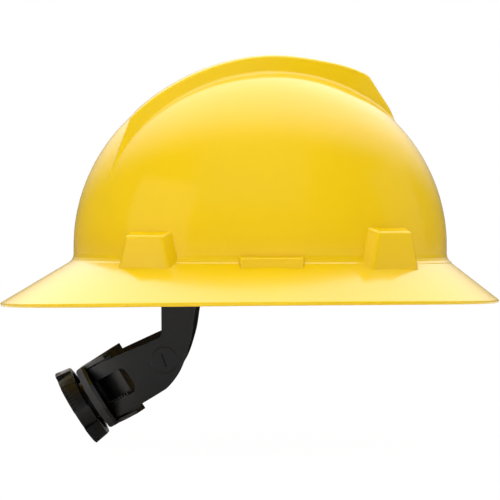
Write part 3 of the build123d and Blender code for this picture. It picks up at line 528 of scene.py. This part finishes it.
def crown_strap(name, node, near, far, rise):
    inner = plate_out + plate_wall + strap_gap + strap_wall / 2
    outer = plate_out - strap_gap - strap_wall / 2
    foot = plate_top + strap_gap + strap_wall
    ends = [place - out * inner for place, out in (near, far)]
    along = (ends[1] - ends[0]).normalized()
    half_span = (ends[1] - ends[0]).length / 2
    centre = (ends[0] + ends[1]) / 2
    across = along.cross(up)
    rise_half = rise - foot - strap_wall / 2

    def arch(turn, lift):
        # The band's own run is half an oval from foot to foot
        spot = centre - along * half_span * math.cos(turn) + up * (foot + rise_half * math.sin(turn))
        way = (-along * math.cos(turn) / half_span + up * (math.sin(turn) / rise_half)).normalized()
        return spot + way * lift

    def width_at(turn):
        # The band turns from square to its key to square to its own run
        for from_key, key_wide in ((turn, up.cross(near[1])), (math.pi - turn, -up.cross(far[1]))):
            if from_key < twist_turn:
                share = from_key / twist_turn
                return key_wide.lerp(across, share * share * (3 - 2 * share)).normalized()
        return across

    def fold(end, flip):
        # From the sewn tail round the bar to the strap's foot
        place, out = end
        wide = up.cross(out) * flip
        tail_turn = tail_length / rise_half
        path = []
        for step in range(tail_steps + 1):
            turn = tail_turn * (1 - step / tail_steps)
            at = turn if flip > 0 else math.pi - turn
            path.append((arch(at, strap_wall * tail_lift_share), width_at(at)))
        top = plate_top + strap_gap + strap_wall / 2
        low = plate_top - bar_height - strap_gap - strap_wall / 2
        middle = -(inner + outer) / 2
        halfway = (top + low) / 2
        corners = [(-inner + strap_wall * tail_lift_share, top + strap_wall * tail_rise_share),
                   (middle, top), (-outer - fold_radius, top), (-outer, top - fold_radius), (-outer, halfway),
                   (-outer, low + fold_radius), (-outer - fold_radius, low), (middle, low),
                   (-inner + fold_radius, low), (-inner, low + fold_radius), (-inner, halfway),
                   (-inner, foot - fold_radius)]
        path.extend((place + out * reach_out + up * level, wide) for reach_out, level in corners)
        return path

    path = fold(near, 1)
    for step in range(arch_steps + 1):
        turn = math.pi * step / arch_steps
        path.append((arch(turn, 0.0), width_at(turn)))
    path.extend(reversed(fold(far, -1)))
    path = rounded(rounded(path))
    # The webbing's section: two flat faces, and edges that narrow to a blunt rim
    flat = strap_half - strap_edge
    lower_side = [(place, -0.5) for place in (-flat, -strap_half * 0.5, 0.0, strap_half * 0.5, flat)]
    upper_side = [(-place, 0.5) for place, level in lower_side]
    section = (lower_side + [(strap_half, -strap_edge_share), (strap_half, strap_edge_share)]
               + upper_side + [(-strap_half, strap_edge_share), (-strap_half, -strap_edge_share)])
    rings = []
    chart = []
    run = 0.0
    for i, (spot, wide) in enumerate(path):
        before = path[max(0, i - 1)][0]
        after = path[min(len(path) - 1, i + 1)][0]
        if i:
            run += (spot - before).length
        ahead = (after - before).normalized()
        face = ahead.cross(wide).normalized()
        rings.append([spot + wide * s + face * (t * strap_wall) for s, t in section])
        chart.extend((s * cloth_scale, run * cloth_scale) for s, t in section)
    piece = swept(name, rings, chart, webbing_paint)
    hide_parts(node)
    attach(piece, "suspension")
    low_turn = seam_start / rise_half
    high_turn = (tail_length - seam_stop) / rise_half
    near_left, near_right = (low_turn, -seam_side_share), (low_turn, seam_side_share)
    far_left, far_right = (high_turn, -seam_side_share), (high_turn, seam_side_share)
    box_and_cross = [(near_left, far_left), (near_right, far_right), (near_left, near_right),
                     (far_left, far_right), (near_left, far_right), (near_right, far_left)]
    seams = []
    for flip in (1, -1):
        for one, two in box_and_cross:
            seam = []
            for step in range(seam_steps + 1):
                share = step / seam_steps
                turn = one[0] + (two[0] - one[0]) * share
                at = turn if flip > 0 else math.pi - turn
                side_share = one[1] + (two[1] - one[1]) * share
                seam.append(arch(at, -strap_wall * seam_lift_share) + width_at(at) * strap_half * side_share)
            seams.append(seam)
    sew(name + "_stitches", seams, seam_pitch, "suspension")


crown_strap("crown_strap_lower_band", "crown_strap_lower", near=key_place(front_key_x, 1),
            far=key_place(rear_key_x, -1), rise=0.116)
crown_strap("crown_strap_upper_band", "crown_strap_upper", near=key_place(front_key_x, -1),
            far=key_place(rear_key_x, 1), rise=0.1183)

# The brow pad: a soft sweatband of foam in brushed cloth. It lies against the inside of the
# headband's front and is sewn into seven cushions, with a hem along its top and its foot.
pad_paint = fabric("pad_cloth", colour=(0.02, 0.02, 0.022), ribs_across=7.0, ribs_along=7.0, depth=0.0002)
pad_long = 0.1062
pad_wide = 0.0907
pad_depth = 0.004
pad_low = 0.006
pad_high = 0.038
pad_middle = (pad_low + pad_high) / 2
pad_half = (pad_high - pad_low) / 2
pad_rear_x = 0.0385
pad_end = math.acos((pad_rear_x - oval_centre) / (pad_long - pad_depth / 2))
pad_cushions = 7
pad_channel = 0.16
pad_channel_depth = 0.5
pad_plain_end = 0.02
pad_steps = 260
pad_ring_points = 44
pad_squareness = 0.5
pad_end_sharpness = 40
pad_end_height_share = 0.9
pad_end_depth_share = 0.25
pad_channel_round = 0.6
hem_share = 0.84
hem_spread = 0.05
hem_pinch = 0.55
hem_lift = 0.0017
hem_pitch = 0.0032
hem_margin = 8


def pad_place(share):
    # Place on the headband's inside and the way out from it, from one end of the pad to the other
    turn = share * pad_end
    spot = Vector((oval_centre + pad_long * math.cos(turn), pad_wide * math.sin(turn), 0.0))
    return spot, Vector((math.cos(turn) / pad_long, math.sin(turn) / pad_wide, 0.0)).normalized()


pad_rings = []
pad_chart = []
pad_run = 0.0
pad_before = pad_place(-1)[0]
for i in range(pad_steps + 1):
    share = 2 * i / pad_steps - 1
    wall_spot, out = pad_place(share)
    pad_run += (wall_spot - pad_before).length
    pad_before = wall_spot
    end_round = max(0.0, 1 - abs(share) ** pad_end_sharpness) ** 0.5
    end_height = pad_end_height_share + (1 - pad_end_height_share) * end_round
    end_depth = pad_end_depth_share + (1 - pad_end_depth_share) * end_round
    along = (share + 1) / 2
    channel = min(1.0, abs((along * pad_cushions + 0.5) % 1 - 0.5) / pad_channel) ** pad_channel_round
    puff = 1.0
    if pad_plain_end < along < 1 - pad_plain_end:
        puff = pad_channel_depth + (1 - pad_channel_depth) * channel
    ring = []
    for j in range(pad_ring_points):
        angle = math.tau * j / pad_ring_points
        up_share = math.copysign(abs(math.sin(angle)) ** pad_squareness, math.sin(angle))
        inward = (1 - math.cos(angle)) / 2 * pad_depth * puff
        if math.cos(angle) < 0:
            inward *= 1 - hem_pinch * math.exp(-((abs(up_share) - hem_share) / hem_spread) ** 2)
        height = pad_middle + pad_half * up_share * end_height
        ring.append(wall_spot - out * inward * end_depth + up * height)
        pad_chart.append((up_share * pad_half * cloth_scale, pad_run * cloth_scale))
    pad_rings.append(ring)
brow_band = swept("brow_pad_cloth", pad_rings, pad_chart, pad_paint)
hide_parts("brow_pad")
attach(brow_band, "suspension")
pad_seams = []
for side in (-1, 1):
    seam = []
    for i in range(hem_margin, pad_steps - hem_margin + 1, 2):
        spot, out = pad_place(2 * i / pad_steps - 1)
        seam.append(spot - out * hem_lift + up * (pad_middle + pad_half * side * hem_share))
    pad_seams.append(seam)
sew("brow_pad_stitches", pad_seams, hem_pitch, "suspension")
